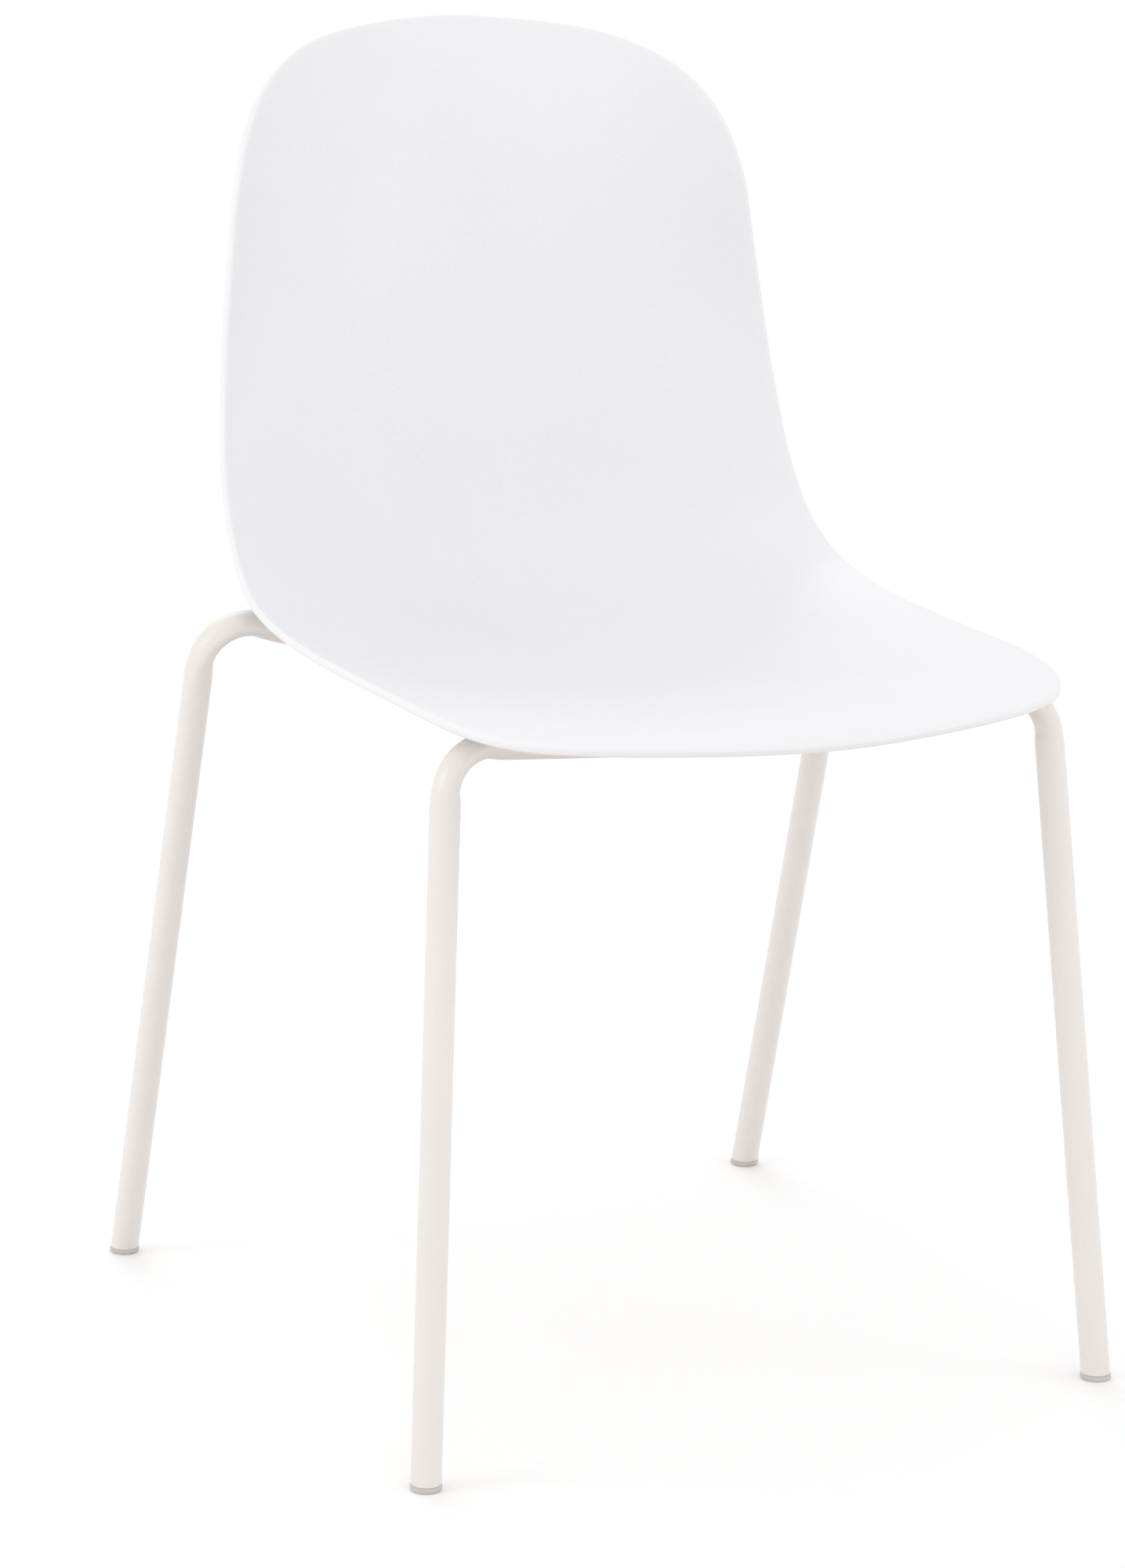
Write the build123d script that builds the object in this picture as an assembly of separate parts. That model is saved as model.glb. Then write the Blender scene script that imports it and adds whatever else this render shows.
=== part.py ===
from build123d import *
import os

# Four-leg stacking chair: a one-piece moulded seat-and-back shell screwed to a welded tube frame.
# Millimetres. X across the chair, -Y to the front, +Z up, floor at Z = 0.
# Y is measured from the middle between front and rear feet while the parts are drawn;
# origin_shift then puts the origin at the bottom centre of the whole chair.
origin_shift = 27.0

# ---- steel tube frame ----
tube_od = 19.0
tube_wall = 1.5
tube_r = tube_od / 2
bore_r = tube_r - tube_wall

front_foot = Vector(237.1, -246.1, 0)      # where the leg axis meets the floor (right side)
front_corner = Vector(207.0, -205.0, 450.5)  # where leg axis and cross tube axis would meet
front_cross_mid_z = 435.5                  # the front cross tube dips to the middle
front_bend_r = 30.0
front_mid_bend_r = 400.0

rear_foot = Vector(241.2, 246.1, 0)
rear_corner = Vector(235.9, 102.2, 475.2)
rear_cross_flat_x = 66.0                   # half length of the level middle of the rear cross tube
rear_cross_flat_z = 426.0
rear_bend_r = 30.0
rear_dip_bend_r = 120.0

# ---- glides ----
glide_height = 4.0
glide_r = tube_r + 0.3
glide_edge_r = 1.2
glide_plug_length = 20.0

# ---- rails between the two cross tubes ----
rail_r = 7.0
rail_wall = 1.5
rail_x = 95.0
rail_front_z = 440.5
rail_rear_z = 431.5

# ---- brackets, screws and inserts ----
bracket_thickness = 3.0
bracket_length = 34.0
bracket_inner_x = 58.0
screw_x = 72.0
screw_y = {"front": -150.0, "rear": 50.0}
bracket_top_z = {"front": 443.5, "rear": 440.0}
screw_hole_r = 3.3
screw_r = 3.0
screw_head_r = 6.0
screw_head_height = 3.8
screw_length = 12.0
washer_r = 7.0
washer_thickness = 1.2
insert_r = 4.2
insert_length = 8.5
boss_r = 9.0

# ---- stacking pads: the front pair under the rails, the rear pair under the rear cross tube ----
front_pad_size = (20.0, 34.0)              # across, along
front_pad_y = -80.0
front_pad_low_z = 415.5
rear_pad_size = (26.0, 24.0)
rear_pad_x = 38.0
rear_pad_low_z = 405.5
pad_corner_r = 5.0
pad_edge_r = 2.0

# ---- shell ----
shell_thickness = 4.6
section_power = 2.1                        # how the cross section rises from the middle to the edge
# one row per cross section: middle Y, middle Z, half width, edge Y, edge Z
shell_sections = [
    (-334, 447.6, 212.0, -334, 442.5),
    (-302, 459.6, 212.0, -302, 455.0),
    (-262, 462.7, 212.4, -262, 460.2),
    (-200, 460.0, 212.6, -200, 465.8),
    (-120, 454.5, 213.0, -120, 468.4),
    (-40, 450.0, 213.8, -38, 470.0),
    (30, 448.5, 214.0, 33, 475.0),
    (85, 451.5, 213.5, 78, 485.5),
    (130, 462.5, 211.0, 105, 501.5),
    (162, 484.0, 208.8, 123, 521.0),
    (183, 516.0, 206.8, 137, 545.0),
    (197, 560.0, 204.2, 147, 574.0),
    (211, 616.0, 199.8, 156, 614.0),
    (224, 676.0, 193.5, 163.5, 668.0),
    (237, 735.0, 186.5, 169, 725.0),
    (249, 787.0, 182.0, 174, 780.0),
    (263, 848.0, 178.0, 180, 848.0),
]
section_steps = 5
# plan outline of the seat's front half: half width, Y
seat_outline = [(0, -314.5), (75, -307.5), (138, -290), (180, -263), (204.5, -221.5), (211.5, -180), (215, -140)]
# front-view outline of the back's upper half: half width, Z
back_outline = [(0, 836), (62, 832), (121.5, 819), (154.5, 797), (174, 767), (184, 735), (190, 706), (198, 670)]
outline_split_z = 500.0
side_reach = 260.0


def mirrored(point, side):
    """The same point on the right (side 1) or left (side -1) of the chair."""
    return Vector(side * point.X, point.Y, point.Z)


def rod(start, end, radius):
    """Solid round bar between two points."""
    length = (end - start).length
    return Solid.make_cylinder(radius, length, Plane(origin=start, z_dir=end - start))


def upright(x, y, low_z, high_z, radius):
    """Solid cylinder standing along Z."""
    return Solid.make_cylinder(radius, high_z - low_z, Plane(origin=(x, y, low_z)))


def only(shape):
    """The single solid of a finished boolean result."""
    return shape.solids()[0]


def shell_point(section, across):
    """Point of the shell's upper (sitting) face; across runs from -1 to 1."""
    mid_y, mid_z, half_width, edge_y, edge_z = section
    rise = abs(across) ** section_power
    return Vector(half_width * across, mid_y + (edge_y - mid_y) * rise, mid_z + (edge_z - mid_z) * rise)


def along_tangent(index, across):
    """Direction of the shell from one cross section to the next, at one place across it."""
    before = shell_sections[max(index - 1, 0)]
    after = shell_sections[min(index + 1, len(shell_sections) - 1)]
    return shell_point(after, across) - shell_point(before, across)


def under_point(index, across):
    """Point of the shell's lower face, one wall thickness below the sitting face."""
    section = shell_sections[index]
    step = 0.02
    over = shell_point(section, min(across + step, 1)) - shell_point(section, max(across - step, -1))
    normal = over.cross(along_tangent(index, across)).normalized()
    lower = shell_point(section, across) - normal * shell_thickness
    if index == 0:
        lower.Y = section[0]               # the two end sections stay flat, so they can be closed
    if index == len(shell_sections) - 1:
        lower.Z = section[1]
    return lower


def section_wire(index):
    """One closed cross section of the shell: sitting face, two square edges and lower face."""
    span = [step / section_steps for step in range(-section_steps, section_steps + 1)]
    upper = [shell_point(shell_sections[index], across) for across in span]
    lower = [under_point(index, across) for across in span]
    edges = [Spline(*upper), Line(upper[-1], lower[-1]), Spline(*reversed(lower)), Line(lower[0], upper[0])]
    return Wire(edges)


def shell_plate():
    sections = [section_wire(index) for index in range(len(shell_sections))]
    return Solid.make_loft(sections, ruled=False)


def outline_face(half_outline, far_value, plane):
    """Closed face from a mirrored half outline that runs on to far_value at its open end."""
    right = [Vector(x, v) for x, v in half_outline]
    left = [Vector(-x, v) for x, v in reversed(half_outline[1:])]
    curve = Spline(*(left + right))
    reach = Polyline(right[-1], (side_reach, right[-1].Y), (side_reach, far_value),
                     (-side_reach, far_value), (-side_reach, right[-1].Y), left[0])
    return plane * make_face([curve, reach])


def shell_cutter():
    """Space the finished shell fills: seat outline below the split, back outline above it."""
    seat = extrude(outline_face(seat_outline, 320, Plane.XY), amount=outline_split_z)
    back = extrude(outline_face(back_outline, outline_split_z, Plane.XZ), amount=400)
    back = back.moved(Location((0, 400, 0)))
    return seat + back


def shell_height(x, y):
    """Z of the sitting face over a point of the seat."""
    for before, after in zip(shell_sections, shell_sections[1:]):
        low = shell_point(before, x / before[2])
        high = shell_point(after, x / after[2])
        if low.Y <= y <= high.Y:
            return low.Z + (high.Z - low.Z) * (y - low.Y) / (high.Y - low.Y)
    raise ValueError("point is not under the seat")


def screw_places():
    """Each screw's place: row name, x, y."""
    return [(row, side * screw_x, screw_y[row]) for row in ("front", "rear") for side in (-1, 1)]


def seat_shell():
    """Moulded shell with a boss over each screw, bored for its insert."""
    shell = only(shell_plate() & shell_cutter())
    for row, x, y in screw_places():
        top = shell_height(x, y) - shell_thickness / 2
        shell = shell + upright(x, y, bracket_top_z[row], top, boss_r)
        bore = upright(x, y, bracket_top_z[row] - 1, bracket_top_z[row] + insert_length, insert_r)
        shell = shell - bore
    return only(shell)


# ---- frame ----
def front_path():
    middle = Vector(0, front_corner.Y, front_cross_mid_z)
    points = [mirrored(front_foot, -1), mirrored(front_corner, -1), middle, front_corner, front_foot]
    radii = [front_bend_r, front_mid_bend_r, front_bend_r]
    return FilletPolyline(*points, radius=radii)


def rear_path():
    dips = [Vector(side * rear_cross_flat_x, rear_corner.Y, rear_cross_flat_z) for side in (-1, 1)]
    points = [mirrored(rear_foot, -1), mirrored(rear_corner, -1), *dips, rear_corner, rear_foot]
    radii = [rear_bend_r, rear_dip_bend_r, rear_dip_bend_r, rear_bend_r]
    return FilletPolyline(*points, radius=radii)


def bent_bar(path, radius):
    section = Plane(origin=path @ 0, z_dir=path % 0) * Circle(radius)
    return only(sweep(section, path=path))


def below_floor(height):
    """Everything lower than the given height, for cutting the tube ends level."""
    return Solid.make_box(800, 800, 100, Plane(origin=(-400, -400, height - 100)))


def leg_frame(path):
    """Bent tube, hollow, with its ends cut level on top of the glides."""
    tube = bent_bar(path, tube_r) - bent_bar(path, bore_r)
    return only(tube - below_floor(glide_height))


def glide(foot, corner):
    """Plug in the tube's bore over a level-cut foot that stands on the floor."""
    direction = (corner - foot).normalized()
    low = foot - direction * 10
    plug_end = foot + direction * (glide_height + glide_plug_length)
    foot_bar = rod(low, foot + direction * 20, glide_r)
    level = Solid.make_box(800, 800, glide_height, Plane(origin=(-400, -400, 0)))
    plug = rod(low, plug_end, bore_r) - below_floor(glide_height)
    foot = only(foot_bar & level)
    foot = fillet(foot.faces().sort_by(Axis.Z)[0].edges(), glide_edge_r)
    return only(foot + plug)


def rail_ends(side):
    start = Vector(side * rail_x, front_corner.Y, rail_front_z)
    end = Vector(side * rail_x, rear_corner.Y, rail_rear_z)
    return start, end


def rail(side, cross_bars):
    """Round tube between the cross tubes, its ends coped to them."""
    start, end = rail_ends(side)
    tube = rod(start, end, rail_r) - rod(start, end, rail_r - rail_wall)
    for bar in cross_bars:
        tube = tube - bar
    return max(tube.solids(), key=lambda piece: piece.volume)


def bracket(row, side):
    """Flat plate welded to the top of a rail, reaching inwards under the shell's boss."""
    top = bracket_top_z[row]
    inner = min(side * bracket_inner_x, side * rail_x)
    plate = Box(rail_x - bracket_inner_x, bracket_length, bracket_thickness,
                align=(Align.MIN, Align.CENTER, Align.MAX))
    corners = plate.edges().filter_by(Axis.Z)
    plate = fillet(corners, 5)
    plate = plate.moved(Location((inner, screw_y[row], top)))
    hole = upright(side * screw_x, screw_y[row], top - 10, top + 10, screw_hole_r)
    return only(plate - hole - rod(*rail_ends(side), rail_r))


def washer(row, x, y):
    top = bracket_top_z[row] - bracket_thickness
    ring = upright(x, y, top - washer_thickness, top, washer_r)
    return ring - upright(x, y, top - 5, top + 5, screw_hole_r)


def screw(row, x, y):
    """Pan-head screw from below with a hexagon socket."""
    seat = bracket_top_z[row] - bracket_thickness - washer_thickness
    head = upright(x, y, seat - screw_head_height, seat, screw_head_r)
    head = fillet(head.edges().sort_by(Axis.Z)[0], 1.2)
    shank = upright(x, y, seat, seat + screw_length, screw_r)
    socket = extrude(Plane(origin=(x, y, seat - screw_head_height)) * RegularPolygon(2.3, 6), amount=2.2)
    return only(head + shank - socket)


def insert(row, x, y):
    """Threaded brass sleeve moulded into the boss."""
    low = bracket_top_z[row]
    sleeve = upright(x, y, low, low + insert_length, insert_r)
    return only(sleeve - upright(x, y, low - 1, low + insert_length + 1, screw_r))


def stacking_pad(x, y, low, high, size, bar):
    """Soft block that hugs the underside of a tube and rests on the chair below in a stack."""
    block = Box(*size, high - low, align=(Align.CENTER, Align.CENTER, Align.MIN))
    block = fillet(block.edges().filter_by(Axis.Z), pad_corner_r)
    block = fillet(block.faces().sort_by(Axis.Z)[0].edges(), pad_edge_r)
    block = block.moved(Location((x, y, low)))
    return max((block - bar).solids(), key=lambda piece: piece.volume)


def front_pad(side):
    """Pad under a rail."""
    start, end = rail_ends(side)
    axis_z = start.Z + (end.Z - start.Z) * (front_pad_y - start.Y) / (end.Y - start.Y)
    bar = rod(start, end, rail_r)
    return stacking_pad(side * rail_x, front_pad_y, front_pad_low_z, axis_z, front_pad_size, bar)


def rear_pad(side, cross_bar):
    """Pad under the level middle of the rear cross tube."""
    high = rear_cross_flat_z
    return stacking_pad(side * rear_pad_x, rear_corner.Y, rear_pad_low_z, high, rear_pad_size, cross_bar)


def build_parts():
    front, rear = front_path(), rear_path()
    front_bar, rear_bar = bent_bar(front, tube_r), bent_bar(rear, tube_r)
    parts = {
        "seat_shell": seat_shell(),
        "front_leg_frame": leg_frame(front),
        "rear_leg_frame": leg_frame(rear),
        "threaded_inserts": Compound([insert(*place) for place in screw_places()]),
        "screw_washers": Compound([washer(*place) for place in screw_places()]),
        "shell_screws": Compound([screw(*place) for place in screw_places()]),
    }
    for name, side in (("left", -1), ("right", 1)):
        parts["rail_" + name] = rail(side, (front_bar, rear_bar))
        parts["front_bracket_" + name] = bracket("front", side)
        parts["rear_bracket_" + name] = bracket("rear", side)
        parts["front_glide_" + name] = glide(mirrored(front_foot, side), mirrored(front_corner, side))
        parts["rear_glide_" + name] = glide(mirrored(rear_foot, side), mirrored(rear_corner, side))
        parts["front_stacking_pad_" + name] = front_pad(side)
        parts["rear_stacking_pad_" + name] = rear_pad(side, rear_bar)
    return parts


os.makedirs("parts", exist_ok=True)
for name, shape in build_parts().items():
    export_step(shape.moved(Location((0, origin_shift, 0))), "parts/" + name + ".step")
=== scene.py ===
import bpy
import numpy as np
from math import cos, pi, radians, sin, sqrt
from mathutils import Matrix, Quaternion, Vector


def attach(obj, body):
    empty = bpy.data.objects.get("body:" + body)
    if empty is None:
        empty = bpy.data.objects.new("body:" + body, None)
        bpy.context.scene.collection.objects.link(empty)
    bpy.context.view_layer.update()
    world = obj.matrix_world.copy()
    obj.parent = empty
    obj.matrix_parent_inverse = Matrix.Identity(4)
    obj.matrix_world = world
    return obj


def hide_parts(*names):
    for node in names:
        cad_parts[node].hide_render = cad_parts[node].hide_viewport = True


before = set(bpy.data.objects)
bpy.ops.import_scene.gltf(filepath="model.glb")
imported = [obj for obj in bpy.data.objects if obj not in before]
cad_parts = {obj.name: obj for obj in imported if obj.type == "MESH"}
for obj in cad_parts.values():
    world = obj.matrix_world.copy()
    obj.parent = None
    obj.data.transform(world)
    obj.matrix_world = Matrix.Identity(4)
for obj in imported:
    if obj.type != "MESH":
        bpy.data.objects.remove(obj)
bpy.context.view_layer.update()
print("frame loaded:", len(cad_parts), "nodes")

# the chair faces -Y, the floor is z = 0, and everything is in metres


# ---- small helpers ----
def addNode(tree, kind, inputs=None, **settings):
    node = tree.nodes.new(kind)
    for name, value in settings.items():
        setattr(node, name, value)
    for name, value in (inputs or {}).items():
        if isinstance(value, bpy.types.NodeSocket):
            tree.links.new(value, node.inputs[name])
        else:
            node.inputs[name].default_value = value
    return node


def addMath(tree, operation, *values, **settings):
    node = addNode(tree, "ShaderNodeMath", dict(enumerate(values)), operation=operation, **settings)
    return node.outputs[0]


def addVector(tree, operation, *values, result=0):
    node = addNode(tree, "ShaderNodeVectorMath", dict(enumerate(values)), operation=operation)
    return node.outputs[result]


def scaleVector(tree, vector, factor):
    node = addNode(tree, "ShaderNodeVectorMath", {0: vector, "Scale": factor}, operation="SCALE")
    return node.outputs[0]


def linkPiece(name, data):
    piece = bpy.data.objects.new(name, data)
    bpy.context.scene.collection.objects.link(piece)
    return piece


def makePiece(name, verts, faces, material, smooth=True):
    mesh = bpy.data.meshes.new(name)
    mesh.from_pydata([tuple(v) for v in verts], [], [tuple(f) for f in faces])
    mesh.validate()
    if smooth:
        mesh.shade_smooth()
    mesh.materials.append(material)
    return linkPiece(name, mesh)


def bakeTree(piece, tree, values):
    # values: socket name -> value; set by identifier, then the result becomes a plain mesh
    modifier = piece.modifiers.new(tree.name, "NODES")
    modifier.node_group = tree
    for item in tree.interface.items_tree:
        if item.item_type == "SOCKET" and item.in_out == "INPUT" and item.name in values:
            modifier[item.identifier] = values[item.name]
    bpy.context.view_layer.update()
    graph = bpy.context.evaluated_depsgraph_get()
    mesh = bpy.data.meshes.new_from_object(piece.evaluated_get(graph), depsgraph=graph)
    name = piece.name
    bpy.data.objects.remove(piece)
    mesh.name = name
    return linkPiece(name, mesh)


def finishPiece(piece, slot, *nodes):
    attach(piece, "root")
    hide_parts(*nodes)
    print("made", piece.name, len(piece.data.polygons), "faces")
    return piece


def setEdge(piece, values):
    # the finishes read this to place wear, and on the shell a painted highlight along the rim
    layer = piece.data.attributes.new("edge", "FLOAT", "POINT")
    layer.data.foreach_set("value", np.asarray(values, np.float32))


def ringFaces(count, first, second):
    # quads between two rings of vertex numbers
    return [(first + k, first + (k + 1) % count, second + (k + 1) % count, second + k)
            for k in range(count)]


# ---- shader groups shared by the finishes ----
def newGroup(name, kind, inputs, outputs):
    tree = bpy.data.node_groups.new(name, kind)
    for label, socketType, value in inputs:
        socket = tree.interface.new_socket(label, in_out="INPUT", socket_type="NodeSocket" + socketType)
        if value is not None:
            socket.default_value = value
    for label, socketType in outputs:
        tree.interface.new_socket(label, in_out="OUTPUT", socket_type="NodeSocket" + socketType)
    return tree, tree.nodes.new("NodeGroupInput").outputs, tree.nodes.new("NodeGroupOutput").inputs


def mouldGrainGroup():
    # spark-eroded mould texture: fine pits over a slightly uneven ground
    tree, given, out = newGroup("mouldGrain", "ShaderNodeTree", [
        ("Grain Scale", "Float", 1500.0), ("Unevenness", "Float", 0.3)], [
        ("Height", "Float"), ("Tone", "Float")])
    place = addNode(tree, "ShaderNodeTexCoord").outputs["Object"]
    fine = addNode(tree, "ShaderNodeTexNoise", {
        "Vector": place, "Scale": given["Grain Scale"], "Detail": 3.0, "Roughness": 0.6})
    pits = addNode(tree, "ShaderNodeTexVoronoi", {"Vector": place, "Scale": given["Grain Scale"]})
    waves = addNode(tree, "ShaderNodeTexNoise", {"Vector": place, "Scale": 22.0, "Detail": 2.0})
    mixed = addMath(tree, "ADD", fine.outputs["Fac"], pits.outputs["Distance"])
    lift = addMath(tree, "MULTIPLY", waves.outputs["Fac"], given["Unevenness"])
    total = addMath(tree, "ADD", mixed, lift)
    tree.links.new(total, out["Height"])
    tree.links.new(waves.outputs["Fac"], out["Tone"])
    return tree


def edgeWearAndHighlightGroup():
    # breaks an edge mask up with noise, so that wear is uneven; on the shell the mask is left nearly even
    # and carries a painted highlight along the rim
    tree, given, out = newGroup("edgeWearAndHighlight", "ShaderNodeTree", [
        ("Edge", "Float", 0.0), ("Breakup Scale", "Float", 160.0), ("Amount", "Float", 0.5),
        ("Evenness", "Float", 0.0)], [("Mask", "Float")])
    place = addNode(tree, "ShaderNodeTexCoord").outputs["Object"]
    noise = addNode(tree, "ShaderNodeTexNoise", {
        "Vector": place, "Scale": given["Breakup Scale"], "Detail": 5.0, "Roughness": 0.65})
    shaped = addNode(tree, "ShaderNodeMapRange", {
        "Value": noise.outputs["Fac"], "From Min": 0.3, "From Max": 0.7, "To Min": given["Evenness"]})
    wornAndLit = addMath(tree, "MULTIPLY", shaped.outputs[0], given["Edge"])
    scaled = addMath(tree, "MULTIPLY", wornAndLit, given["Amount"], use_clamp=True)
    tree.links.new(scaled, out["Mask"])
    return tree


def handlingGroup():
    # faint smudges and hairline scuffs from use
    tree, given, out = newGroup("handling", "ShaderNodeTree", [
        ("Smudge Scale", "Float", 9.0), ("Scuff Scale", "Float", 60.0)], [
        ("Smudge", "Float"), ("Scuff", "Float")])
    place = addNode(tree, "ShaderNodeTexCoord").outputs["Object"]
    cloud = addNode(tree, "ShaderNodeTexNoise", {
        "Vector": place, "Scale": given["Smudge Scale"], "Detail": 4.0, "Roughness": 0.55,
        "Distortion": 0.4})
    smudge = addNode(tree, "ShaderNodeMapRange", {
        "Value": cloud.outputs["Fac"], "From Min": 0.42, "From Max": 0.72})
    stretched = addNode(tree, "ShaderNodeMapping", {
        "Vector": place, "Rotation": (0.5, 0.9, 0.3), "Scale": (1.0, 14.0, 3.0)})
    lines = addNode(tree, "ShaderNodeTexNoise", {
        "Vector": stretched.outputs[0], "Scale": given["Scuff Scale"], "Detail": 2.0})
    scuff = addNode(tree, "ShaderNodeMapRange", {
        "Value": lines.outputs["Fac"], "From Min": 0.66, "From Max": 0.72})
    tree.links.new(smudge.outputs[0], out["Smudge"])
    tree.links.new(scuff.outputs[0], out["Scuff"])
    return tree


groups = {"grain": mouldGrainGroup(), "wearAndHighlight": edgeWearAndHighlightGroup(), "handling": handlingGroup()}


def addGroup(tree, name, inputs):
    node = tree.nodes.new("ShaderNodeGroup")
    node.node_tree = groups[name]
    for label, value in inputs.items():
        if isinstance(value, bpy.types.NodeSocket):
            tree.links.new(value, node.inputs[label])
        else:
            node.inputs[label].default_value = value
    return node


def finish(name, look):
    # one finish: ground colour with tone drift, worn edges (on the shell also a painted rim highlight),
    # painted shade on faces that look down, grain bump and uneven gloss
    material = bpy.data.materials.new(name)
    material.use_nodes = True
    tree = material.node_tree
    tree.nodes.clear()
    grain = addGroup(tree, "grain", {
        "Grain Scale": look["grainScale"], "Unevenness": look["unevenness"]})
    handled = addGroup(tree, "handling", {
        "Smudge Scale": look["smudgeScale"], "Scuff Scale": look["scuffScale"]})
    edge = addNode(tree, "ShaderNodeAttribute", attribute_name="edge")
    wornAndLit = addGroup(tree, "wearAndHighlight", {
        "Edge": edge.outputs["Fac"], "Amount": look["wearAndHighlight"], "Evenness": look["wearAndHighlightEvenness"],
        "Breakup Scale": look["wearScale"]})
    tone = addNode(tree, "ShaderNodeMix", {
        "Factor": grain.outputs["Tone"], "A": look["colour"], "B": look["drift"]}, data_type="RGBA")
    smudged = addMath(tree, "MULTIPLY", handled.outputs["Smudge"], look["smudge"])
    dirty = addNode(tree, "ShaderNodeMix", {
        "Factor": smudged, "A": tone.outputs["Result"], "B": look["smudgeColour"]}, data_type="RGBA")
    # painted shade: faces whose normal points down are mixed towards the shade colour, more the further
    # down they face
    geometry = addNode(tree, "ShaderNodeNewGeometry")
    facing = addNode(tree, "ShaderNodeSeparateXYZ", {0: geometry.outputs["Normal"]})
    under = addNode(tree, "ShaderNodeMapRange", {
        "Value": facing.outputs["Z"], "From Min": look["underStart"], "From Max": look["underEnd"],
        "To Max": look["paintedShadeAmount"]})
    shadeDarkened = addNode(tree, "ShaderNodeMix", {
        "Factor": under.outputs[0], "A": dirty.outputs["Result"],
        "B": look["paintedShadeColour"]}, data_type="RGBA")
    colour = addNode(tree, "ShaderNodeMix", {
        "Factor": wornAndLit.outputs["Mask"], "A": shadeDarkened.outputs["Result"],
        "B": look["wearAndHighlightColour"]}, data_type="RGBA")
    gloss = addNode(tree, "ShaderNodeMapRange", {
        "Value": handled.outputs["Smudge"], "To Min": look["roughness"][0],
        "To Max": look["roughness"][1]})
    scuffed = addMath(
        tree, "MULTIPLY_ADD", handled.outputs["Scuff"], look["scuff"], gloss.outputs[0], use_clamp=True)
    bump = addNode(tree, "ShaderNodeBump", {
        "Strength": 1.0, "Distance": look["bump"], "Height": grain.outputs["Height"]})
    shader = addNode(tree, "ShaderNodeBsdfPrincipled", {
        "Base Color": colour.outputs["Result"], "Roughness": scuffed, "Normal": bump.outputs[0],
        "Metallic": look["metallic"], "IOR": look["ior"], "Coat Weight": look["coat"],
        "Coat Roughness": look["coatRoughness"]})
    output = tree.nodes.new("ShaderNodeOutputMaterial")
    tree.links.new(shader.outputs[0], output.inputs["Surface"])
    return material


plainLook = {
    "grainScale": 1500.0, "unevenness": 0.3, "bump": 0.00003,
    "smudgeScale": 9.0, "smudge": 0.3, "scuffScale": 60.0, "scuff": 0.08,
    "wearAndHighlight": 0.4, "wearScale": 160.0, "wearAndHighlightEvenness": 0.2,
    "roughness": (0.4, 0.5), "metallic": 0.0, "ior": 1.5, "coat": 0.0, "coatRoughness": 0.1,
    # painted shade: faces that look down are darkened towards a duller tone
    "paintedShadeAmount": 0.0, "underStart": -0.1, "underEnd": -0.85, "paintedShadeColour": (0.5, 0.5, 0.5, 1),
}

finishes = {
    "shellPlastic": finish("shellPlastic", plainLook | {
        "colour": (0.79, 0.789, 0.81, 1), "drift": (0.80, 0.798, 0.815, 1),
        "smudgeColour": (0.76, 0.755, 0.765, 1),
        # painted highlight: the rim is lightened to a pinkish white, nearly evenly, with slight wear
        # breakup
        "wearAndHighlightColour": (0.83, 0.815, 0.82, 1), "wearAndHighlight": 0.35, "wearAndHighlightEvenness": 0.9,
        "roughness": (0.42, 0.49), "bump": 0.00005,
        # painted shade: the rim's underside and other down-facing faces are darkened towards a warm grey
        "paintedShadeAmount": 0.7, "underStart": 0.15, "paintedShadeColour": (0.60, 0.53, 0.49, 1)}),
    "framePaint": finish("framePaint", plainLook | {
        "colour": (0.745, 0.71, 0.685, 1), "drift": (0.765, 0.73, 0.705, 1),
        "smudgeColour": (0.72, 0.69, 0.66, 1),
        "wearAndHighlightColour": (0.70, 0.66, 0.62, 1), "grainScale": 700.0, "roughness": (0.30, 0.38),
        "bump": 0.00004,
        # painted shade: the tubes' undersides are darkened towards a warm brown
        "coat": 0.25, "coatRoughness": 0.2, "paintedShadeAmount": 0.65, "paintedShadeColour": (0.48, 0.40, 0.36, 1)}),
    "glidePlastic": finish("glidePlastic", plainLook | {
        "colour": (0.49, 0.46, 0.445, 1), "drift": (0.52, 0.49, 0.47, 1),
        "smudgeColour": (0.54, 0.52, 0.50, 1),
        "wearAndHighlightColour": (0.60, 0.58, 0.56, 1), "grainScale": 1100.0, "smudgeScale": 70.0, "wearAndHighlight": 0.8,
        "roughness": (0.42, 0.6)}),
    "padRubber": finish("padRubber", plainLook | {
        "colour": (0.40, 0.385, 0.37, 1), "drift": (0.43, 0.415, 0.40, 1),
        "smudgeColour": (0.45, 0.44, 0.43, 1),
        "wearAndHighlightColour": (0.48, 0.48, 0.47, 1), "smudgeScale": 50.0, "roughness": (0.6, 0.75)}),
    "zincSteel": finish("zincSteel", plainLook | {
        "colour": (0.60, 0.60, 0.61, 1), "drift": (0.66, 0.65, 0.62, 1),
        "smudgeColour": (0.5, 0.5, 0.5, 1),
        "wearAndHighlightColour": (0.75, 0.75, 0.75, 1), "metallic": 1.0, "smudgeScale": 120.0,
        "roughness": (0.28, 0.42),
        "bump": 0.00001}),
    "insertBrass": finish("insertBrass", plainLook | {
        "colour": (0.72, 0.52, 0.24, 1), "drift": (0.76, 0.58, 0.30, 1),
        "smudgeColour": (0.55, 0.40, 0.2, 1),
        "wearAndHighlightColour": (0.8, 0.65, 0.4, 1), "metallic": 1.0, "smudgeScale": 120.0,
        "roughness": (0.25, 0.4),
        "bump": 0.00001}),
}
print("finishes ready:", len(finishes))

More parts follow.
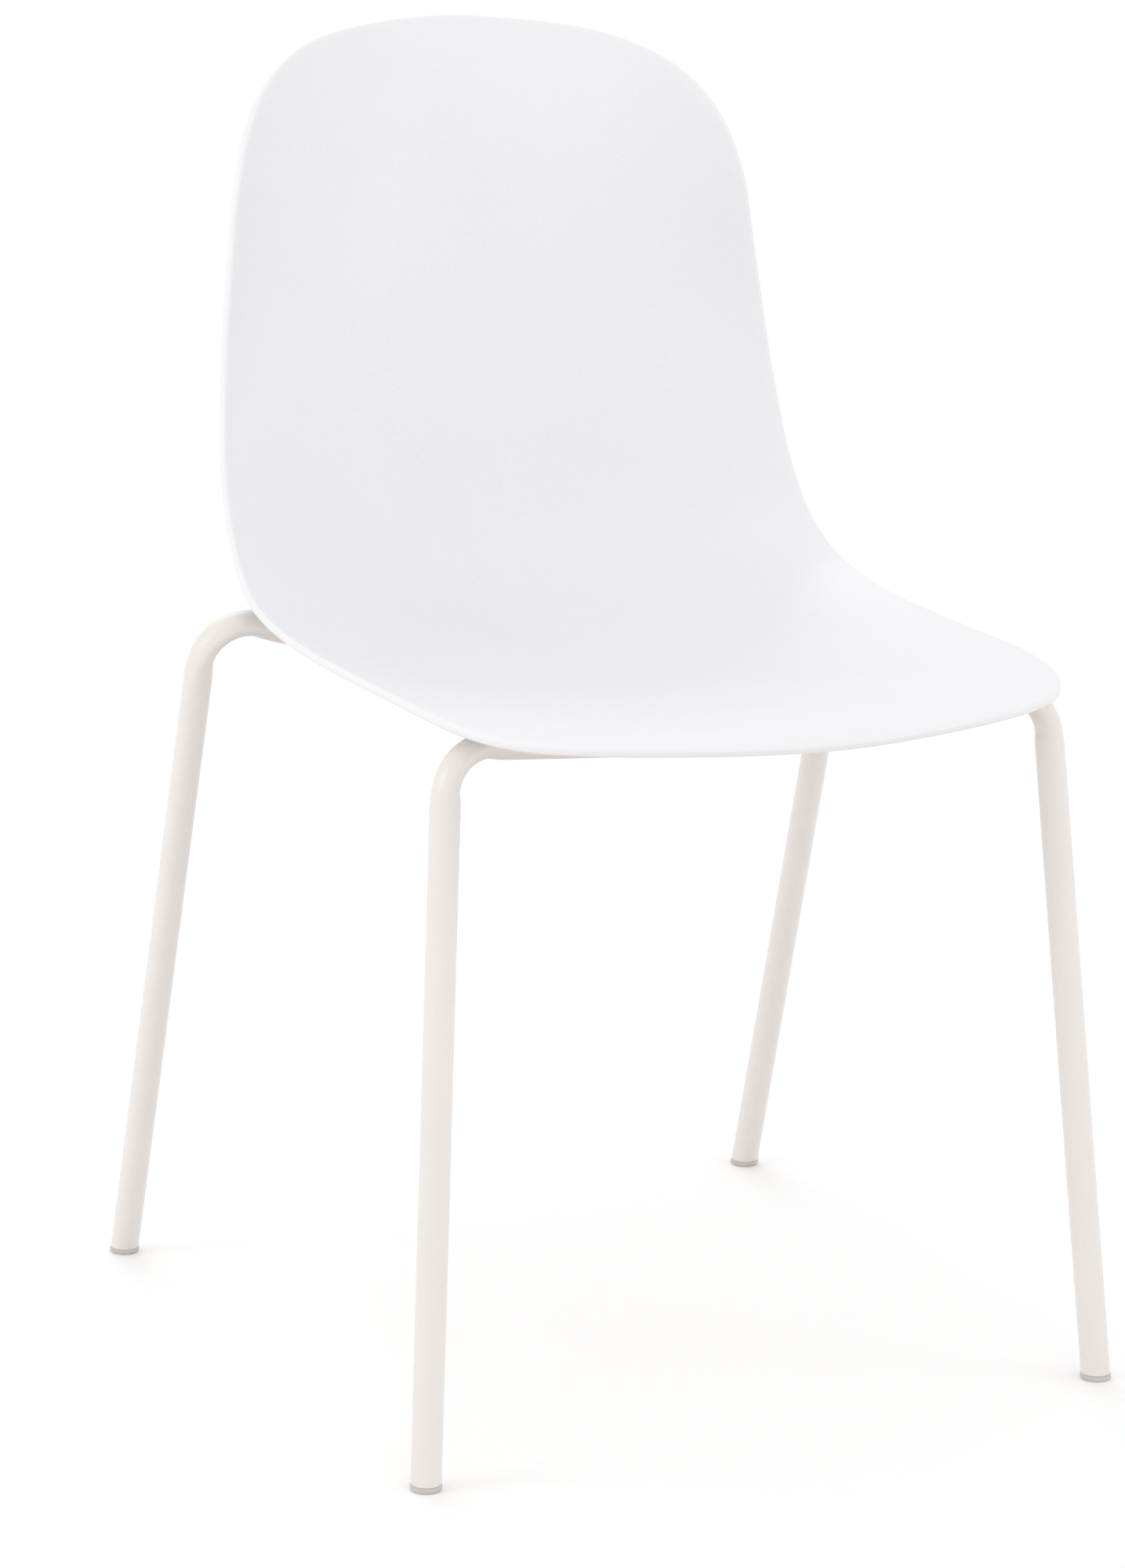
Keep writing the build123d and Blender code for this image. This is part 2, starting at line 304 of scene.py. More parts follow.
# ---- shell ----
shell = {
    "wall": 0.0046, "rimWall": 0.0056,    # the rim is a little thicker than the rest
    "rimRoll": 0.0019, "rimSteps": 5,    # radius of the rim's two rounded edges
    "rimBlend": (0.004, 0.016),    # distance from the rim over which the wall thins
    "power": 2.1,    # how a cross section rises from its middle to its edge
    "around": 260, "inward": 34,    # faces of half the shell: along its outline, and inwards
    "spineEnds": (0.10, 0.09),    # how far the grid's middle line stops short, front and top
    "probe": 0.0005, "searchSteps": 40,    # step for slopes, and halvings when the edge is looked for
    "middlePoints": 4000, "edgePoints": 6001,   # fine points on the middle line and on the outline
    "rimHighlightReach": 0.0025,    # how far the painted rim highlight, lightly broken up as wear, spreads in from the rim
    # middle y, middle z, half width, edge y, edge z of each cross section
    "sections": [
        (-0.307, 0.4476, 0.212, -0.307, 0.4425), (-0.275, 0.4596, 0.212, -0.275, 0.455),
        (-0.235, 0.4627, 0.2124, -0.235, 0.4602), (-0.173, 0.460, 0.2126, -0.173, 0.4658),
        (-0.093, 0.4545, 0.213, -0.093, 0.4684), (-0.013, 0.450, 0.2138, -0.011, 0.470),
        (0.057, 0.4485, 0.214, 0.060, 0.475), (0.112, 0.4515, 0.2135, 0.105, 0.4855),
        (0.157, 0.4625, 0.211, 0.132, 0.5015), (0.189, 0.484, 0.2088, 0.150, 0.521),
        (0.210, 0.516, 0.2068, 0.164, 0.545), (0.224, 0.560, 0.2042, 0.174, 0.574),
        (0.238, 0.616, 0.1998, 0.183, 0.614), (0.251, 0.676, 0.1935, 0.1905, 0.668),
        (0.264, 0.735, 0.1865, 0.196, 0.725), (0.276, 0.787, 0.182, 0.201, 0.780),
        (0.290, 0.848, 0.178, 0.207, 0.848)],
    # plan outline of the seat's front: half width, y
    "seatOutline": [(0, -0.2875), (0.075, -0.2805), (0.138, -0.263), (0.180, -0.236), (0.2045, -0.1945),
                    (0.2115, -0.153), (0.215, -0.113)],
    # outline of the back's top seen from the front: half width, z
    "backOutline": [(0, 0.836), (0.062, 0.832), (0.1215, 0.819), (0.1545, 0.797), (0.174, 0.767),
                    (0.184, 0.735), (0.190, 0.706), (0.198, 0.670)],
}


def naturalCurve(knots, values):
    # natural cubic through the values; returns a function of the place along the knots
    knots, values = np.asarray(knots, float), np.asarray(values, float)
    gaps = np.diff(knots)
    count = len(knots)
    matrix, right = np.eye(count), np.zeros_like(values)
    for k in range(1, count - 1):
        matrix[k, k - 1:k + 2] = gaps[k - 1], 2 * (gaps[k - 1] + gaps[k]), gaps[k]
        right[k] = 6 * ((values[k + 1] - values[k]) / gaps[k] - (values[k] - values[k - 1]) / gaps[k - 1])
    bend = np.linalg.solve(matrix, right)

    def at(place):
        k = np.clip(np.searchsorted(knots, place) - 1, 0, count - 2)
        gap, a, b = gaps[k], (knots[k + 1] - place) / gaps[k], (place - knots[k]) / gaps[k]
        if values.ndim > 1:
            gap, a, b = gap[..., None], a[..., None], b[..., None]
        curved = (a ** 3 - a) * bend[k] + (b ** 3 - b) * bend[k + 1]
        return a * values[k] + b * values[k + 1] + curved * gap ** 2 / 6
    return at


def chordKnots(points):
    steps = np.linalg.norm(np.diff(np.asarray(points, float), axis=0), axis=1)
    return np.concatenate([[0], np.cumsum(steps)])


sections = np.array(shell["sections"])
sectionKnots = chordKnots(sections[:, :2])
sectionAt = naturalCurve(sectionKnots, sections)


def outlineLimit(half):
    # half width of a mirrored outline as a function of its second value
    half = np.array(half, float)
    whole = np.vstack([half[:0:-1] * (-1, 1), half])
    knots = chordKnots(whole)
    dense = naturalCurve(knots, whole)(np.linspace(knots[len(half) - 1], knots[-1], 400))
    order = np.argsort(dense[:, 1])
    return dense[order, 1], dense[order, 0]


seatLimit, backLimit = outlineLimit(shell["seatOutline"]), outlineLimit(shell["backOutline"])


def shellFace(x, s):
    # point of the sitting face at x across and s along the chair's middle line
    row = sectionAt(s)
    rise = np.abs(x / row[..., 2]) ** shell["power"]
    y = row[..., 0] + (row[..., 3] - row[..., 0]) * rise
    z = row[..., 1] + (row[..., 4] - row[..., 1]) * rise
    return np.stack([x, y, z], -1)


def shellNormal(x, s):
    step = shell["probe"]
    across = shellFace(x + step, s) - shellFace(x - step, s)
    along = shellFace(x, s + step) - shellFace(x, s - step)
    normal = np.cross(across, along)
    return normal / np.linalg.norm(normal, axis=-1, keepdims=True)


def widestAt(s):
    # how far out the shell reaches at s: its own edge or the outline, whichever comes first
    half = sectionAt(s)[..., 2]
    low, high = np.zeros_like(s), np.ones_like(s)
    for _ in range(shell["searchSteps"]):
        middle = (low + high) / 2
        point = shellFace(half * middle, s)
        limit = np.where(point[..., 1] < seatLimit[0][-1],
                         np.interp(point[..., 1], *seatLimit, left=-1), 1.0)
        upper = np.interp(point[..., 2], *backLimit, right=-1)
        limit = np.where(point[..., 2] > backLimit[0][0], np.minimum(limit, upper), limit)
        inside = point[..., 0] < limit
        low, high = np.where(inside, middle, low), np.where(inside, high, middle)
    return half * low


def shellOutline():
    # right half of the outline from the front middle to the top middle, as (x, s) with its length
    table = np.linspace(0, sectionKnots[-1], shell["middlePoints"])
    middle, half = shellFace(np.zeros_like(table), table), shell["middlePoints"] // 2
    front = np.interp(shell["seatOutline"][0][1], middle[:half, 1], table[:half])
    top = np.interp(shell["backOutline"][0][1], middle[half:, 2], table[half:])
    s = front + (top - front) * (1 - np.cos(np.linspace(0, pi, shell["edgePoints"]))) / 2
    x = widestAt(s)
    x[0] = x[-1] = 0
    return x, s


def evenOutline(count):
    # points of the right half of the outline as (x, s), evenly spaced along the real edge
    x, s = shellOutline()
    knots = chordKnots(shellFace(x, s))
    even = np.linspace(0, knots[-1], count)
    return np.interp(even, knots, x), np.interp(even, knots, s)


def rimFrame(x, s):
    # edge point, face normal and outward direction along the outline
    edge, normal = shellFace(x, s), shellNormal(x, s)
    tangent = np.gradient(edge, axis=0)
    tangent[[0, -1]] *= (1, 0, 0)
    outward = np.cross(tangent, normal)
    return edge, normal, outward / np.linalg.norm(outward, axis=1, keepdims=True)


def moveInside(x, s, outward, distance):
    # shifts points of the outline inwards along the face, in (x, s)
    step = shell["probe"]
    across = (shellFace(x + step, s) - shellFace(x - step, s)) / (2 * step)
    along = (shellFace(x, s + step) - shellFace(x, s - step)) / (2 * step)
    basis = np.stack([across, along], -1)
    shift = np.linalg.pinv(basis) @ outward[..., None] * distance
    return x - shift[:, 0, 0], s - shift[:, 1, 0]


def halfGrid():
    # rows run from a spine on the middle line out to the rim's inner edge, their last column
    x, s = evenOutline(shell["around"] + 1)
    edge, normal, outward = rimFrame(x, s)
    insetX, insetS = moveInside(x, s, outward, shell["rimRoll"])
    insetX[[0, -1]] = 0
    part = (np.linspace(0, 1, len(s)) + (s - s[0]) / (s[-1] - s[0])) / 2
    front, top = shell["spineEnds"]
    spine = s[0] + front + part * (s[-1] - s[0] - front - top)
    out = np.linspace(0, 1, shell["inward"] + 1)
    gridX = insetX[:, None] * out
    gridS = spine[:, None] + (insetS - spine)[:, None] * out
    return gridX, gridS, edge, normal, outward


def mirroredNumbers(rows, columns):
    # vertex numbers of the left half: the middle line is shared with the right half
    right = np.arange(rows * columns).reshape(rows, columns)
    left = np.full((rows, columns), -1)
    left[0], left[-1], left[:, 0] = right[0], right[-1], right[:, 0]
    free = left < 0
    left[free] = rows * columns + np.arange(free.sum())
    return right, left, free


def gridFaces(number, flip):
    corners = [number[:-1, :-1], number[:-1, 1:], number[1:, 1:], number[1:, :-1]]
    faces = np.stack(corners, -1).reshape(-1, 4)
    return faces[:, ::-1] if flip else faces


def rimProfile():
    # (outwards, along the normal) from the inner edge of the rim round to its underside
    roll, wall = shell["rimRoll"], shell["rimWall"]
    turns = np.linspace(0, pi / 2, shell["rimSteps"] + 1)
    upper = [(-roll + roll * sin(a), -roll + roll * cos(a)) for a in turns[1:]]
    lower = [(-roll + roll * cos(a), -wall + roll - roll * sin(a)) for a in turns[:-1]]
    return upper + lower


def makeShell():
    gridX, gridS, edge, edgeNormal, outward = halfGrid()
    right, left, free = mirroredNumbers(*gridX.shape)
    face, normal = shellFace(gridX, gridS), shellNormal(gridX, gridS)
    reach = np.min(np.linalg.norm(face[:, :, None] - edge[None, None, ::4], axis=-1), axis=-1)
    near, far = shell["rimBlend"]
    fade = np.clip((reach - near) / (far - near), 0, 1)
    wall = shell["rimWall"] + (shell["wall"] - shell["rimWall"]) * fade * fade * (3 - 2 * fade)
    under = face - normal * wall[..., None]
    flip = np.array([-1, 1, 1])
    layers = [np.vstack([layer.reshape(-1, 3), layer[free] * flip]) for layer in (face, under)]
    total = len(layers[0])
    faces = [gridFaces(right, False), gridFaces(left, True)]
    faces += [total + gridFaces(right, True), total + gridFaces(left, False)]
    loop = np.concatenate([right[:, -1], left[-2:0:-1, -1]])
    rings = []
    for out, up in rimProfile():
        ring = edge + outward * out + edgeNormal * up
        rings.append(np.vstack([ring, ring[-2:0:-1] * flip]))
    around = len(loop)
    turned = [2 * total + around * k + np.arange(around) for k in range(len(rings))]
    chain = [loop, *turned, total + loop]
    for first, second in zip(chain, chain[1:]):
        faces.append(np.stack([first, second, np.roll(second, -1), np.roll(first, -1)], -1))
    verts = np.vstack([*layers, *rings])
    piece = makePiece("seat_shell_moulding", verts, np.vstack(faces), finishes["shellPlastic"])
    # painted highlight along the rim: full on the rim's rounded faces, fading over the face within a few
    # millimetres of it
    rimLightening = np.exp(-(np.concatenate([reach.ravel(), reach[free]]) / shell["rimHighlightReach"]) ** 2)
    rim = np.concatenate([rimLightening, rimLightening, np.ones(around * len(rings))])
    setEdge(piece, rim)
    return finishPiece(piece, "shell_plastic", "seat_shell")


makeShell()

# ---- bent tubes ----
tubes = {
    "radius": 0.0095, "sides": 36, "bendSteps": 24, "step": 0.0025, "endHeight": 0.004, "endSpare": 0.012,
    "flatten": 0.16, "bulge": 0.35,    # a bend is pressed flatter in its plane and bulges sideways
    "tightTurn": (0.03, 0.08), "soften": 5,    # turn per step in a tight bend, and its smoothing
    "front": {"foot": (0.2371, -0.2191), "corner": (0.207, -0.178, 0.4505), "middle": 0.4355,
              "bend": 0.030, "middleBend": 0.4},
    "rear": {"foot": (0.2412, 0.2731), "corner": (0.2359, 0.1292, 0.4752), "flat": (0.066, 0.426),
             "bend": 0.030, "dipBend": 0.12},
}


def runDirection(tree, offset):
    # unit vector along the run to the next point (offset 1) or from the one before (offset -1)
    place = addNode(tree, "GeometryNodeInputPosition").outputs[0]
    other = addNode(tree, "GeometryNodeOffsetPointInCurve", {"Offset": offset})
    there = addNode(tree, "GeometryNodeFieldAtIndex", {
        "Index": other.outputs["Point Index"],
        "Value": place}, data_type="FLOAT_VECTOR", domain="POINT")
    line = addVector(tree, "SUBTRACT", there.outputs[0], place)
    unit = addVector(tree, "NORMALIZE", line)
    valid = scaleVector(tree, unit, other.outputs[0])
    return valid, other.outputs[0]


def bendVector(tree):
    # inward direction of a tight bend, as long as the bend is sharp: 0 on straight runs, 1 in a full bend
    ahead, hasNext = runDirection(tree, 1)
    behind, hasLast = runDirection(tree, -1)
    turn = addVector(tree, "ADD", ahead, behind)
    angle = addVector(tree, "LENGTH", turn, result="Value")
    share = addNode(tree, "ShaderNodeMapRange", {
        "Value": angle, "From Min": tubes["tightTurn"][0], "From Max": tubes["tightTurn"][1]})
    both = addMath(tree, "MULTIPLY", hasNext, hasLast)
    weight = addMath(tree, "MULTIPLY", share.outputs[0], both)
    unit = addVector(tree, "NORMALIZE", turn)
    vector = scaleVector(tree, unit, weight)
    return vector


def bentTubeTree():
    # rounds each corner by the point's own radius, skins the run with a tube and presses the bends flat
    tree, given, out = newGroup("bentTube", "GeometryNodeTree", [
        ("Geometry", "Geometry", None), ("Tube Radius", "Float", 0.01), ("Sides", "Int", 32),
        ("Bend Steps", "Int", 12), ("Step", "Float", 0.003), ("Flatten", "Float", 0.1),
        ("Bulge", "Float", 0.3), ("Material", "Material", None)], [("Geometry", "Geometry")])
    own = addNode(tree, "GeometryNodeInputRadius")
    bent = addNode(tree, "GeometryNodeFilletCurve", {
        "Curve": given["Geometry"], "Count": given["Bend Steps"],
        "Radius": own.outputs[0]}, mode="POLY")
    even = addNode(tree, "GeometryNodeResampleCurve", {
        "Curve": bent.outputs[0], "Length": given["Step"]}, mode="LENGTH")
    plain = addNode(tree, "GeometryNodeSetCurveRadius", {"Curve": even.outputs[0], "Radius": 1.0})
    held = addNode(tree, "GeometryNodeCaptureAttribute")
    held.capture_items.new("VECTOR", "Centre")
    held.capture_items.new("VECTOR", "Bend")
    soft = addNode(tree, "GeometryNodeBlurAttribute", {
        "Value": bendVector(tree), "Iterations": tubes["soften"]}, data_type="FLOAT_VECTOR")
    tree.links.new(plain.outputs[0], held.inputs[0])
    tree.links.new(addNode(tree, "GeometryNodeInputPosition").outputs[0], held.inputs["Centre"])
    tree.links.new(soft.outputs[0], held.inputs["Bend"])
    ring = addNode(tree, "GeometryNodeCurvePrimitiveCircle", {
        "Resolution": given["Sides"], "Radius": given["Tube Radius"]})
    skin = addNode(tree, "GeometryNodeCurveToMesh", {
        "Curve": held.outputs[0], "Profile Curve": ring.outputs[0], "Fill Caps": True})
    pressed = addNode(tree, "GeometryNodeSetPosition", {
        "Geometry": skin.outputs[0], "Offset": pressOffset(tree, held, given)})
    smooth = addNode(tree, "GeometryNodeSetShadeSmooth", {"Geometry": pressed.outputs[0]})
    real = addNode(tree, "GeometryNodeRealizeInstances", {"Geometry": smooth.outputs[0]})
    painted = addNode(tree, "GeometryNodeSetMaterial", {
        "Geometry": real.outputs[0], "Material": given["Material"]})
    tree.links.new(painted.outputs[0], out[0])
    return tree


def pressOffset(tree, held, given):
    # moves a point of the wall towards the bend's middle line, and a little sideways
    place = addNode(tree, "GeometryNodeInputPosition").outputs[0]
    arm = addVector(tree, "SUBTRACT", place, held.outputs["Centre"])
    inward = addVector(tree, "NORMALIZE", held.outputs["Bend"])
    share = addVector(tree, "LENGTH", held.outputs["Bend"], result="Value")
    depth = addVector(tree, "DOT_PRODUCT", arm, inward, result="Value")
    along = scaleVector(tree, inward, depth)
    aside = addVector(tree, "SUBTRACT", arm, along)
    swollen = scaleVector(tree, aside, given["Bulge"])
    change = addVector(tree, "SUBTRACT", swollen, along)
    amount = addMath(tree, "MULTIPLY", share, given["Flatten"])
    offset = scaleVector(tree, change, amount)
    return offset


bentTube = bentTubeTree()


def runCurve(name, points, bends):
    data = bpy.data.curves.new(name, "CURVE")
    data.dimensions = "3D"
    spline = data.splines.new("POLY")
    spline.points.add(len(points) - 1)
    for target, point, bend in zip(spline.points, points, bends):
        target.co = (*point, 1)
        target.radius = bend
    return linkPiece(name, data)


def frameRun(row):
    # points of a leg frame from the left foot over the cross tube to the right foot, and their bends
    shape = tubes[row]
    corner, foot = Vector(shape["corner"]), Vector((*shape["foot"], 0))
    foot += (corner - foot).normalized() * tubes["endSpare"]
    right = [corner, foot]
    if row == "front":
        inner, bends = [Vector((0, corner.y, shape["middle"]))], [shape["middleBend"]]
    else:
        flatX, flatZ = shape["flat"]
        inner = [Vector((side * flatX, corner.y, flatZ)) for side in (-1, 1)]
        bends = [shape["dipBend"]] * 2
    left = [Vector((-p.x, p.y, p.z)) for p in reversed(right)]
    return left + inner + right, [0, shape["bend"], *bends, shape["bend"], 0]


def cutLevel(mesh, row):
    # slides the rings that close the tube's ends along the leg to a level cut above the glides
    shape = tubes[row]
    lean = Vector(shape["corner"]) - Vector((*shape["foot"], 0))
    ends = {v for face in mesh.polygons if len(face.vertices) > 4 for v in face.vertices}
    for number in ends:
        place = mesh.vertices[number].co
        line = Vector((lean.x * (1 if place.x > 0 else -1), lean.y, lean.z))
        place += line * (tubes["endHeight"] - place.z) / line.z


def makeLegFrame(row):
    points, bends = frameRun(row)
    piece = bakeTree(runCurve(row + "_frame_tube", points, bends), bentTube, {
        "Tube Radius": tubes["radius"], "Sides": tubes["sides"], "Bend Steps": tubes["bendSteps"],
        "Step": tubes["step"], "Flatten": tubes["flatten"], "Bulge": tubes["bulge"],
        "Material": finishes["framePaint"]})
    cutLevel(piece.data, row)
    return finishPiece(piece, "frame_paint", row + "_leg_frame")


for row in ("front", "rear"):
    makeLegFrame(row)

# ---- glides ----
glides = {"radius": 0.0098, "edge": 0.0012, "height": 0.004, "sides": 40,
          "dimple": 0.0005, "dimpleReach": (0.45, 0.5), "middle": 0.0012, "shoulder": 0.0006, "seat": 0.8}


def levelRing(foot, lean, radius, height, sides):
    # ring of a leaning round bar cut level at a height
    along = lean.normalized()
    first = along.cross(Vector((0, 1, 0))).normalized()
    second = along.cross(first)
    ring = []
    for k in range(sides):
        turn = 2 * pi * k / sides
        point = foot + radius * (first * cos(turn) + second * sin(turn))
        ring.append(point + along * (height - point.z) / along.z)
    return ring


def makeGlides():
    r, edge, sides = glides["radius"], glides["edge"], glides["sides"]
    height, dimple, shoulder = glides["height"], glides["dimple"], glides["shoulder"]
    inner, outer = glides["dimpleReach"]
    profile = [(glides["middle"], dimple), (r * inner, dimple), (r * outer, 0.0)]
    profile += [(r - edge + edge * sin(a), edge - edge * cos(a)) for a in (0, 0.4, 0.8, 1.2, pi / 2)]
    profile += [(r, height - shoulder), (r - shoulder, height), (r * glides["seat"], height)]
    verts, faces, edgeMask = [], [], []
    for row in ("front", "rear"):
        for side in (-1, 1):
            shape = tubes[row]
            foot = Vector((side * shape["foot"][0], shape["foot"][1], 0))
            lean = Vector((side * shape["corner"][0], *shape["corner"][1:])) - foot
            base = len(verts)
            for radius, level in profile:
                verts += levelRing(foot, lean, radius, level, sides)
                edgeMask += [1.0 if level < edge * 1.5 else 0.2] * sides
            for k in range(len(profile) - 1):
                faces += ringFaces(sides, base + k * sides, base + (k + 1) * sides)
            faces.append(tuple(base + k for k in reversed(range(sides))))
            faces.append(tuple(base + (len(profile) - 1) * sides + k for k in range(sides)))
    piece = makePiece("foot_glides", verts, faces, finishes["glidePlastic"])
    setEdge(piece, edgeMask)
    nodes = [row + "_glide_" + name for row in ("front", "rear") for name in ("left", "right")]
    return finishPiece(piece, "glide_plastic", *nodes)


makeGlides()

# ---- bosses under the shell ----
bosses = {"radius": 0.009, "draft": 0.0006, "bore": 0.0042, "chamfer": 0.0006, "embed": 0.0015,
          "sides": 32,
          "gussets": 4, "gussetReach": 0.009, "gussetThickness": 0.002, "gussetSink": 0.001,
          "searchShare": 0.6, "searchPoints": 600}
fixings = {"x": 0.072, "frontY": -0.123, "rearY": 0.077, "frontTop": 0.4435, "rearTop": 0.440,
           "plate": 0.003, "washer": 0.0012}    # the bosses stand on the brackets, screwed from below


def underShell(x, y):
    # height of the shell's underside over a point of the seat
    table = np.linspace(0, sectionKnots[-1] * bosses["searchShare"], bosses["searchPoints"])
    line = shellFace(np.full_like(table, x), table)
    return float(np.interp(y, line[:, 1], line[:, 2])) - shell["wall"]


def addGusset(verts, faces, x, y, low, turn):
    # a three-cornered rib beside a boss, widest where it meets the shell
    out = Vector((cos(turn), sin(turn), 0))
    side = Vector((-sin(turn), cos(turn), 0)) * bosses["gussetThickness"] / 2
    near, far = bosses["radius"] - bosses["gussetSink"], bosses["radius"] + bosses["gussetReach"]
    base = len(verts)
    for shift in (-side, side):
        for reach, foot in ((near, low), (near, None), (far, None)):
            place = Vector((x, y, 0)) + out * reach + shift
            place.z = underShell(place.x, place.y) + bosses["embed"] if foot is None else foot
            verts.append(place)
    quads = [(0, 2, 1), (3, 4, 5), (0, 1, 4, 3), (1, 2, 5, 4), (2, 0, 3, 5)]
    faces += [tuple(base + v for v in face) for face in quads]


def makeBosses():
    verts, faces = [], []
    sides, radius, bore, chamfer = bosses["sides"], bosses["radius"], bosses["bore"], bosses["chamfer"]
    profile = [(radius + bosses["draft"], True), (radius, False), (radius - chamfer, False),
               (bore, False), (bore, True)]
    for x in (-fixings["x"], fixings["x"]):
        for y, low in ((fixings["frontY"], fixings["frontTop"]), (fixings["rearY"], fixings["rearTop"])):
            base = len(verts)
            for reach, top in profile:
                height = low + (chamfer if reach == radius else 0)
                for k in range(sides):
                    turn = 2 * pi * k / sides
                    place = Vector((x + reach * cos(turn), y + reach * sin(turn), height))
                    if top:
                        place.z = underShell(place.x, place.y) + bosses["embed"]
                    verts.append(place)
            for k in range(len(profile)):
                first, second = base + k * sides, base + (k + 1) % len(profile) * sides
                faces += [tuple(reversed(f)) for f in ringFaces(sides, first, second)]
            for k in range(bosses["gussets"]):
                turn = 2 * pi * (k + 0.5) / bosses["gussets"]
                addGusset(verts, faces, x, y, low + bosses["gussetSink"], turn)
    finishPiece(makePiece("shell_bosses", verts, faces, finishes["shellPlastic"], smooth=False),
                "shell_plastic")


makeBosses()

# ---- screws ----
screws = {"headRadius": 0.006, "headHeight": 0.0038, "headRound": 0.0014, "socket": 0.002,
          "socketDepth": 0.0022, "radius": 0.00295, "length": 0.012, "pitch": 0.001,
          "threadDepth": 0.0003, "sides": 36, "stepsPerPitch": 6, "middle": 0.0008, "tip": 0.0006,
          "runout": 0.0002, "cut": 0.0003, "centre": 0.0004}


def screwRings():
    # (radius or a function of the turn, height) from the shank's tip down to the bottom of the socket
    length, radius, pitch = screws["length"], screws["radius"], screws["pitch"]
    head, height, rounding = screws["headRadius"], screws["headHeight"], screws["headRound"]
    tip, runout, cut, depth = screws["tip"], screws["runout"], screws["cut"], screws["socketDepth"]
    rings = [(screws["middle"], length), (radius - tip - cut, length), (radius - cut, length - tip)]
    for k in range(round((length - 2 * tip) / pitch * screws["stepsPerPitch"])):
        z = length - tip - runout - k * pitch / screws["stepsPerPitch"]
        rings.append((lambda turn, z=z: radius - screws["threadDepth"] * abs(
            ((z / pitch - turn / (2 * pi)) % 1) * 2 - 1), z))
    rings += [(radius, runout / 2), (head, 0.0), (head, rounding - height)]
    rings += [(head - rounding + rounding * cos(a), rounding - height - rounding * sin(a))
              for a in (pi / 8, pi / 4, 3 * pi / 8, pi / 2)]

    def hexagon(turn):
        return screws["socket"] / cos((turn + pi / 6) % (pi / 3) - pi / 6)
    rings += [(lambda turn: hexagon(turn) + cut, -height), (hexagon, cut - height),
              (hexagon, depth - height), (screws["centre"], depth + cut - height)]
    return rings


def makeScrewMesh():
    sides, verts = screws["sides"], []
    rings = screwRings()
    for radius, z in rings:
        for k in range(sides):
            turn = 2 * pi * k / sides
            reach = radius(turn) if callable(radius) else radius
            verts.append((reach * cos(turn), reach * sin(turn), z))
    faces = [tuple(range(sides))]
    for k in range(len(rings) - 1):
        faces += [tuple(reversed(f)) for f in ringFaces(sides, k * sides, (k + 1) * sides)]
    faces.append(tuple(reversed(range((len(rings) - 1) * sides, len(rings) * sides))))
    return makePiece("shell_screw_set", verts, faces, finishes["zincSteel"])


def fixingPlacesTree():
    # puts one copy of its geometry at each of the four fixing points, front pair and rear pair
    tree, given, out = newGroup("atFixings", "GeometryNodeTree", [
        ("Geometry", "Geometry", None), ("Width", "Float", 0.1), ("Front Y", "Float", 0.0),
        ("Rear Y", "Float", 0.1), ("Front Z", "Float", 0.0), ("Rear Z", "Float", 0.0),
        ("Material", "Material", None)], [("Geometry", "Geometry")])
    gap = addMath(tree, "SUBTRACT", given["Rear Y"], given["Front Y"])
    grid = addNode(tree, "GeometryNodeMeshGrid", {
        "Size X": given["Width"], "Size Y": gap, "Vertices X": 2, "Vertices Y": 2})
    middle = addMath(tree, "MULTIPLY_ADD", gap, 0.5, given["Front Y"])
    position = addNode(tree, "GeometryNodeInputPosition")
    place = addNode(tree, "ShaderNodeSeparateXYZ", {0: position.outputs[0]})
    share = addMath(tree, "DIVIDE", place.outputs["Y"], gap)
    even = addMath(tree, "ADD", share, 0.5)
    height = addNode(tree, "ShaderNodeMapRange", {
        "Value": even, "To Min": given["Front Z"], "To Max": given["Rear Z"]})
    shift = addNode(tree, "ShaderNodeCombineXYZ", {"Y": middle, "Z": height.outputs[0]})
    moved = addNode(tree, "GeometryNodeSetPosition", {
        "Geometry": grid.outputs[0], "Offset": shift.outputs[0]})
    copies = addNode(tree, "GeometryNodeInstanceOnPoints", {
        "Points": moved.outputs[0], "Instance": given["Geometry"]})
    real = addNode(tree, "GeometryNodeRealizeInstances", {"Geometry": copies.outputs[0]})
    plated = addNode(tree, "GeometryNodeSetMaterial", {
        "Geometry": real.outputs[0], "Material": given["Material"]})
    tree.links.new(plated.outputs[0], out[0])
    return tree


def makeScrews():
    drop = fixings["plate"] + fixings["washer"]
    piece = bakeTree(makeScrewMesh(), fixingPlacesTree(), {
        "Width": 2 * fixings["x"], "Front Y": fixings["frontY"], "Rear Y": fixings["rearY"],
        "Front Z": fixings["frontTop"] - drop, "Rear Z": fixings["rearTop"] - drop,
        "Material": finishes["zincSteel"]})
    finishPiece(piece, "screw_steel", "shell_screws")


makeScrews()

# ---- weld beads ----
welds = {"railRadius": 0.007, "railX": 0.095, "railEndZ": (0.4405, 0.4315), "bead": 0.0013,
         "ripple": 0.22, "ripplePitch": 0.0016, "step": 0.0004, "sides": 8, "points": 36,
         "alongPlate": (-0.015, -0.005, 0.005, 0.015)}


def crossHeight(row, x):
    # height of the cross tube's axis at x
    shape = tubes[row]
    if row == "front":
        return shape["middle"] + (shape["corner"][2] - shape["middle"]) * abs(x) / shape["corner"][0]
    flatX, flatZ = shape["flat"]
    rise = max(abs(x) - flatX, 0) / (shape["corner"][0] - flatX)
    return flatZ + (shape["corner"][2] - flatZ) * rise


def saddleLine(row, side):
    # where the round rail meets the round cross tube
    railZ = welds["railEndZ"][0 if row == "front" else 1]
    toward = 1 if row == "front" else -1
    radius, points = welds["railRadius"], []
    for k in range(welds["points"]):
        turn = 2 * pi * k / welds["points"]
        x, z = side * welds["railX"] + radius * cos(turn), railZ + radius * sin(turn)
        rise = z - crossHeight(row, x)
        reach = sqrt(max(tubes["radius"] ** 2 - rise ** 2, 0))
        points.append((x, tubes[row]["corner"][1] + toward * reach, z))
    return points


